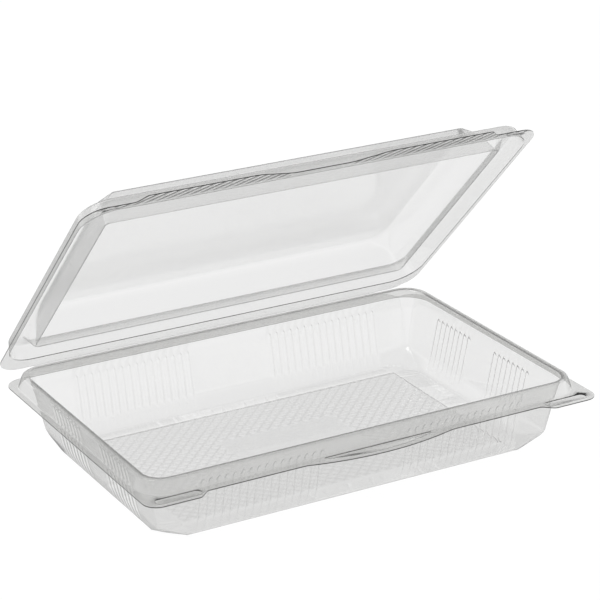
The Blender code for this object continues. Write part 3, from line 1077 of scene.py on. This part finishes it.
    def pads(self) -> list[list[Vector]]:
        """The outlines of the recessed pads: a slot at each front corner and a crescent between."""
        sizes = self.sizes
        back = sizes.rim_front + self.pad_back_land
        middle = sizes.flange_side - self.slot_side_land - self.slot_half
        front = sizes.tab_edge - self.slot_front_land
        slots = [
            filleted(box_corners(side, self.slot_half, front, back, self.slot_fillet), self.corner_flats)
            for side in (-middle, middle)
        ]
        end = sizes.front_edge - self.crescent_end_land
        sag = sizes.front_edge + self.centre_tab_reach - self.crescent_front_land - end
        bow = bowed_edge(self.crescent_half, sag, self.corner_flats)
        half = [(x, -(end + rise), 0.0) for x, rise in bow]
        half += [
            (self.crescent_half, -end, self.crescent_fillet),
            (self.crescent_half, -back, self.crescent_fillet),
        ]
        return [*slots, filleted(mirrored(half), self.fold_flats)]

    def build(self) -> bpy.types.Object:
        """Models the tray and returns it."""
        face = FormedFace()
        rings = [self.lay_floor(face)]
        rings += [face.ring(self.step_points(*shares)) for shares in EASED_STEP_SHARES[1:]]
        for k, values in enumerate(curved_profile(self.wall_folds(), self.fold_flats)):
            points = ring_points(self.sizes, values, self.flutes, self.corner_flats, self.rim_columns)
            # Painted shade along the folds round the flute caps.
            bend = self.cap_shade if k in self.cap_shade_rings else 0.0
            rings.append(face.ring(points, self.sizes.gauge(values[0]), bend))
        back_corners = self.sizes.rim_front - self.sizes.root_corner
        for k, values in enumerate(curved_profile(self.rim_folds(), self.fold_flats)[1:]):
            points = ring_points(self.sizes, values, None, self.corner_flats, self.rim_columns)
            # Painted shade along the crest's inner fold, full in front and weaker behind the back corners.
            points = fold_shade_in_front(points, back_corners, self.back_shade_share)
            bend = self.crest_shade if k in self.crest_shade_rings else 0.0
            rings.append(face.ring(points, self.sizes.gauge(values[0]), bend))
        face.join_all(rings)
        rims = face.flange(rings[-1], self.edge(), self.pads())
        face.press_pads(rims, self.pad_wall, -self.pad_depth)
        tray = face.piece("tray_shell", self.sizes.sheet, SheetSide.BELOW, self.finish)
        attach(tray, "tray")
        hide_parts("tray")
        return tray


@dataclass
class Lid:
    """The upper shell: panel, walls, the plug and the rim that close over the tray's, and flange.

    Heights are those of the closed lid, from the underside of its flange, and insets are from the
    root of the tray's rim.

    Attributes:
        sizes: The pack's sizes.
        finish: The materials of the sheet and of its cut edge.
        panel_inset: Of the panel's edge.
        panel_height: Of the panel.
        panel_corner: How far its cut corners reach.
        panel_fold_share: How far the fold round the panel reaches, as a share of a wide fold.
        shoulder_inset: Of the shoulder, where the wall turns steep.
        shoulder_height: Of the shoulder.
        shoulder_corner: How far its corners reach.
        plug_inset: Of the foot of the plug.
        plug_drop: How far the plug goes down past the flange.
        plug_corner: How far its corners reach.
        facet_inset: Of the upper edge of the plug's corner facets.
        facet_height: Of that edge.
        facet_corner: How far the facets reach there.
        facet_fold: How far the fold along that edge reaches.
        crest_insets: Of the inner and of the outer edge of the rim's flat top.
        crest_rise: The height of the rim.
        root_outset: How far the lid's rim stands outside the tray's.
        soft_fold: How far the wide folds reach.
        crisp_fold: How far the narrow folds reach.
        fold_flats: How many flats make the curve of a fold.
        corner_flats: How many flats make a round corner.
        columns: How many columns a long and a short side have.
        panel_shade: How dark the painted shade along the fold round the panel is in front, from 0 to 1.
        panel_shade_rings: Which rings carry it.
        corner: The radius of the flange's front corners.
        hinge_corner: The radius of its corners at the hinge.
        tab_end_land: From the flange's end to the end of a tab.
        tab_slope: How long the slope at a tab's end is.
        tab_inner: From the pack's middle to where a tab stands out in full.
        tab_taper: From there to where it starts to stand out.
        tab_fillet: The fillets at its end.
        taper_fillet: The fillets of its taper.
        pad_depth: How high the corner pads are pressed up.
        pad_wall: The width of their walls.
        pad_half: Half a pad's length.
        pad_side_land: From the flange's end to a pad.
        pad_front_land: From a pad to the front edge.
        pad_back_land: From the rim's root to a pad.
        pad_fillet: The radius of its corners.
    """

    sizes: PackSizes
    finish: Finish
    panel_inset: float = 18.4 * MM
    panel_height: float = 18.0 * MM
    panel_corner: Place = (5.2 * MM, 8.6 * MM)
    panel_fold_share: float = 2 / 3
    shoulder_inset: float = 15.8 * MM
    shoulder_height: float = 12.5 * MM
    shoulder_corner: float = 2.6 * MM
    plug_inset: float = 12.5 * MM
    plug_drop: float = 0.8 * MM
    plug_corner: float = 1.8 * MM
    facet_inset: float = 7.4 * MM
    facet_height: float = 5.8 * MM
    facet_corner: float = 7.0 * MM
    facet_fold: float = 0.4 * MM
    crest_insets: Place = (6.6 * MM, 1.2 * MM)
    crest_rise: float = 6.8 * MM
    root_outset: float = 0.6 * MM
    soft_fold: float = 2.6 * MM
    crisp_fold: float = 0.8 * MM
    fold_flats: int = 5
    corner_flats: int = 14
    columns: tuple[int, int] = (44, 28)
    panel_shade: float = 0.6
    panel_shade_rings: range = range(2, 5)
    corner: float = 11.0 * MM
    hinge_corner: float = 14.0 * MM
    tab_end_land: float = 28.7 * MM
    tab_slope: float = 4.0 * MM
    tab_inner: float = 34.0 * MM
    tab_taper: float = 15.0 * MM
    tab_fillet: float = 3.0 * MM
    taper_fillet: float = 20.0 * MM
    pad_depth: float = 0.3 * MM
    pad_wall: float = 0.45 * MM
    pad_half: float = 5.0 * MM
    pad_side_land: float = 8.7 * MM
    pad_front_land: float = 1.1 * MM
    pad_back_land: float = 2.1 * MM
    pad_fillet: float = 0.6 * MM

    def folds(self) -> list[Fold]:
        """The folds from the panel's edge out to the flange."""
        concentric, cut = self.sizes.concentric, CornerForm.CUT
        crisp, soft, panel = self.crisp_fold, self.soft_fold, self.soft_fold * self.panel_fold_share
        shoulder = (self.shoulder_corner, self.shoulder_corner)
        plug, facet = (self.plug_corner, self.plug_corner), (self.facet_corner, self.facet_corner)
        (inner, outer), root = self.crest_insets, -self.root_outset
        return [
            Fold(self.panel_inset + soft, self.panel_height, self.panel_corner, cut),
            Fold(self.panel_inset, self.panel_height, self.panel_corner, cut, reach=panel),
            Fold(self.shoulder_inset, self.shoulder_height, shoulder, reach=soft),
            Fold(self.plug_inset, -self.plug_drop, plug, reach=soft),
            Fold(self.facet_inset, self.facet_height, facet, cut, reach=self.facet_fold),
            Fold(inner, self.crest_rise, concentric(inner), reach=crisp),
            Fold(outer, self.crest_rise, concentric(outer), reach=crisp),
            Fold(root, 0.0, concentric(root), reach=crisp),
            Fold(root - crisp, 0.0, concentric(root - crisp)),
        ]

    def edge(self) -> list[Vector]:
        """The flange's edge, with two front tabs that sit between the tray's."""
        sizes = self.sizes
        tab_end = sizes.flange_side - self.tab_end_land
        half = [
            (self.tab_taper, -sizes.front_edge, self.taper_fillet),
            (self.tab_inner, -sizes.tab_edge, self.taper_fillet),
            (tab_end, -sizes.tab_edge, self.tab_fillet),
            (tab_end + self.tab_slope, -sizes.front_edge, self.tab_fillet),
            (sizes.flange_side, -sizes.front_edge, self.corner),
            (sizes.flange_side, sizes.back_edge, self.hinge_corner),
        ]
        return filleted(mirrored(half), self.corner_flats)

    def pads(self) -> list[list[Vector]]:
        """The outlines of the small pads at the two front corners."""
        sizes = self.sizes
        middle = sizes.flange_side - self.pad_side_land - self.pad_half
        front = sizes.front_edge - self.pad_front_land
        back = sizes.rim_front + self.pad_back_land
        return [
            filleted(box_corners(side, self.pad_half, front, back, self.pad_fillet), self.fold_flats)
            for side in (-middle, middle)
        ]

    def build(self) -> bpy.types.Object:
        """Models the lid closed, opens it and returns it."""
        face = FormedFace()
        rings = []
        for k, values in enumerate(curved_profile(self.folds(), self.fold_flats)):
            points = ring_points(self.sizes, values, None, self.corner_flats, self.columns)
            # Painted shade along the fold round the panel, in front only.
            front_corners = values[0] - self.sizes.rim_front + self.panel_corner[1]
            points = fold_shade_in_front(points, front_corners, 0.0)
            bend = self.panel_shade if k in self.panel_shade_rings else 0.0
            rings.append(face.ring(points, self.sizes.gauge(values[0]), bend))
        face.mesh.faces.new([vert for vert, _ in rings[0]])
        face.join_all(rings)
        rims = face.flange(rings[-1], self.edge(), self.pads())
        face.press_pads(rims, self.pad_wall, self.pad_depth)
        face.keep_plan()
        face.mesh.transform(self.sizes.opened())
        lid = face.piece("lid_shell", self.sizes.sheet, SheetSide.ABOVE, self.finish)
        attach(lid, "lid")
        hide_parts("lid")
        return lid


@dataclass
class HingeWeb:
    """The crease where the one sheet bends from the tray's flange to the lid's.

    Attributes:
        sizes: The pack's sizes.
        finish: The materials of the sheet and of its cut edge.
        half_length: Half the crease's length.
        thickness: Of the sheet, which the crease has thinned.
        clearance: From the flanges' back edges to the crease.
        bulge: How far the bend stands back from the hinge's axis, and up from it.
        flats: How many flats make the bend.
    """

    sizes: PackSizes
    finish: Finish
    half_length: float = 96.5 * MM
    thickness: float = 0.24 * MM
    clearance: float = 0.02 * MM
    bulge: Place = (0.17 * MM, -0.05 * MM)
    flats: int = 6

    def build(self) -> bpy.types.Object:
        """Models the crease as a curved strip between the two flange edges, and returns it."""
        sizes = self.sizes
        edge = sizes.back_edge + self.clearance
        start = Vector((0, edge, sizes.flange_top - sizes.sheet / 2))
        end = sizes.opened() @ Vector((0, edge, sizes.sheet / 2))
        bend = sizes.hinge + Vector((0, *self.bulge))
        bpy.ops.object.select_all(action="DESELECT")
        bpy.ops.mesh.primitive_grid_add(
            x_subdivisions=1, y_subdivisions=self.flats, size=2, enter_editmode=False
        )
        web = bpy.context.active_object
        web.name = "hinge_crease"
        for vert in web.data.vertices:
            t = (vert.co.y + 1) / 2
            point = start * (1 - t) ** 2 + bend * 2 * t * (1 - t) + end * t**2
            vert.co = (vert.co.x * self.half_length, point.y, point.z)
        web.data.materials.append(self.finish[0])
        finish_sheet(web, self.thickness, 0.0)
        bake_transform(web, "tray", "lid", start=tuple(start), end=tuple(end))
        return web


@dataclass(frozen=True)
class Studio:
    """A white sweep under soft light, seen as in the photograph.

    Attributes:
        camera_at: Where the camera stands.
        azimuth: How far the view turns from +Y towards +X, in degrees.
        elevation: How far it looks down, in degrees.
        roll: How far it leans, in degrees.
        lens: The focal length, in millimetres.
        sensor: The width of the sensor, in millimetres.
        near: From where on the camera sees.
        floor_size: The side of the white floor.
        floor_grey: What the floor throws back of the light that falls on it.
        shadow_grey: The same where the floor is seen, so that the pack keeps a faint shadow.
        floor_glow: How white the floor shows by itself.
        through_glow: How bright the floor glows through the plastic: a painted shade, dimmer than
            floor_glow, for the light that the plastic's rims keep off it.
        mirrored_glow: How bright the floor is in a reflection, where more of its dim far part shows.
        horizon: How bright the studio is all round.
        horizon_rise: Up to where it is that bright, as the rise of a line of sight.
        ceiling: How bright it is overhead.
        ceiling_rise: From where on it is that bright.
        lamp_at: Where the softbox hangs.
        lamp_aim: The point that it faces.
        lamp_side: Its width and height.
        lamp_power: In watts.
    """

    camera_at: Point = (-0.503977, -0.909578, 0.478712)
    azimuth: float = 29.173
    elevation: float = 21.257
    roll: float = -0.648
    lens: float = 143.23
    sensor: float = 36.0
    near: float = 0.05
    floor_size: float = 12.0
    floor_grey: float = 0.8
    shadow_grey: float = 0.05
    floor_glow: float = 0.985
    through_glow: float = 0.88
    mirrored_glow: float = 0.5
    horizon: float = 1.2
    horizon_rise: float = 0.05
    ceiling: float = 0.5
    ceiling_rise: float = 0.35
    lamp_at: Point = (-0.9, 0.2, 1.3)
    lamp_aim: Point = (0.0, 0.0, 0.05)
    lamp_side: float = 0.9
    lamp_power: float = 9.0

    def place_camera(self) -> None:
        """Sets up the camera."""
        data = bpy.data.cameras.new("camera")
        data.lens = self.lens
        data.sensor_width = self.sensor
        data.clip_start = self.near
        camera = bpy.data.objects.new("camera", data)
        turn = Euler((math.radians(90 - self.elevation), 0, math.radians(-self.azimuth)))
        lean = Matrix.Rotation(math.radians(self.roll), 4, "Z")
        camera.matrix_world = Matrix.Translation(self.camera_at) @ turn.to_matrix().to_4x4() @ lean
        bpy.context.scene.collection.objects.link(camera)
        bpy.context.scene.camera = camera

    def lay_floor(self) -> None:
        """Lays the white floor, which shows white to the camera and through the plastic."""
        bpy.ops.object.select_all(action="DESELECT")
        bpy.ops.mesh.primitive_plane_add(size=self.floor_size)
        floor = bpy.context.active_object
        floor.name = "floor"
        # Lit so evenly that no edge or horizon shows, only the pack's faint shadow.
        material = bpy.data.materials.new("white acrylic sweep")
        material.use_nodes = True
        tree = material.node_tree
        tree.nodes.clear()
        path = add_node(tree, "ShaderNodeLightPath")
        camera, through = path.outputs["Is Camera Ray"], path.outputs["Is Transmission Ray"]
        straight = add_node(tree, "ShaderNodeMath", {0: camera, 1: through}, operation="MAXIMUM")
        traced = {0: straight.outputs[0], 1: path.outputs["Is Glossy Ray"]}
        shown = add_node(tree, "ShaderNodeMath", traced, operation="MAXIMUM").outputs[0]
        # Through the plastic the floor glows at through_glow, a painted shade, and in a reflection at
        # mirrored_glow.
        glows = {"Value": through, "To Min": self.mirrored_glow, "To Max": self.through_glow}
        unseen = add_node(tree, "ShaderNodeMapRange", glows).outputs["Result"]
        glows = {"Value": camera, "To Min": unseen, "To Max": self.floor_glow}
        level = add_node(tree, "ShaderNodeMapRange", glows).outputs["Result"]
        glow = add_node(tree, "ShaderNodeEmission", {"Strength": level}).outputs["Emission"]
        matt, faint = (
            add_node(tree, "ShaderNodeBsdfDiffuse", {"Color": (grey, grey, grey, 1.0)}).outputs["BSDF"]
            for grey in (self.floor_grey, self.shadow_grey)
        )
        both = add_node(tree, "ShaderNodeAddShader", {0: faint, 1: glow}).outputs["Shader"]
        mixed = add_node(tree, "ShaderNodeMixShader", {"Fac": shown, 1: matt, 2: both})
        add_node(tree, "ShaderNodeOutputMaterial", {"Surface": mixed.outputs["Shader"]})
        floor.data.materials.append(material)

    def light_world(self) -> None:
        """Makes the studio white round the sweep and dimmer overhead."""
        world = bpy.data.worlds.new("studio")
        bpy.context.scene.world = world
        world.use_nodes = True
        tree = world.node_tree
        tree.nodes.clear()
        camera = add_node(tree, "ShaderNodeLightPath").outputs["Is Camera Ray"]
        way = add_node(tree, "ShaderNodeTexCoord").outputs["Generated"]
        rise = add_node(tree, "ShaderNodeSeparateXYZ", {"Vector": way}).outputs["Z"]
        levels = {
            "Value": rise,
            "From Min": self.horizon_rise,
            "From Max": self.ceiling_rise,
            "To Min": self.horizon,
            "To Max": self.ceiling,
        }
        level = add_node(tree, "ShaderNodeMapRange", levels).outputs["Result"]
        around, white = (
            add_node(tree, "ShaderNodeBackground", {"Color": (1.0, 1.0, 1.0, 1.0), "Strength": strength})
            for strength in (level, 1.0)
        )
        views = {"Fac": camera, 1: around.outputs["Background"], 2: white.outputs["Background"]}
        mixed = add_node(tree, "ShaderNodeMixShader", views)
        add_node(tree, "ShaderNodeOutputWorld", {"Surface": mixed.outputs["Shader"]})

    def hang_lamp(self) -> None:
        """Hangs the one softbox, which gives the faint shadow and doesn't show in the gloss."""
        data = bpy.data.lights.new("key_softbox", "AREA")
        data.shape = "RECTANGLE"
        data.size = self.lamp_side
        data.size_y = self.lamp_side
        data.energy = self.lamp_power
        lamp = bpy.data.objects.new("key_softbox", data)
        lamp.visible_glossy = False
        at = Vector(self.lamp_at)
        turn = (Vector(self.lamp_aim) - at).to_track_quat("-Z", "Y")
        lamp.matrix_world = Matrix.Translation(at) @ turn.to_matrix().to_4x4()
        bpy.context.scene.collection.objects.link(lamp)

    def build(self) -> None:
        """Sets up the camera, the floor, the world and the lamp."""
        self.place_camera()
        self.lay_floor()
        self.light_world()
        self.hang_lamp()
        bpy.context.scene.view_settings.view_transform = "Standard"


def report(piece: bpy.types.Object) -> None:
    """Logs a piece's name and its count of triangles."""
    piece.data.calc_loop_triangles()
    log.info("%s: %d triangles", piece.name, len(piece.data.loop_triangles))


def main() -> None:
    """Builds the pack and its studio."""
    logging.basicConfig(level=logging.INFO, format="%(message)s")
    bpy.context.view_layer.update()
    _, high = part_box("tray")
    joint = frame["joints"][0]
    sizes = PackSizes(
        flange_side=high.x,
        crest_top=high.z,
        hinge=Vector(joint["pos_m"]),
        open_angle=-math.radians(joint["range_deg"][0]),
    )
    Studio().build()
    cut_edge = CUT_EDGE.build()
    tray_finish, lid_finish = (TRAY_SHEET.build(), cut_edge), (LID_SHEET.build(), cut_edge)
    for part in (Tray(sizes, tray_finish), Lid(sizes, lid_finish), HingeWeb(sizes, tray_finish)):
        report(part.build())


if __name__ == "__main__":
    main()
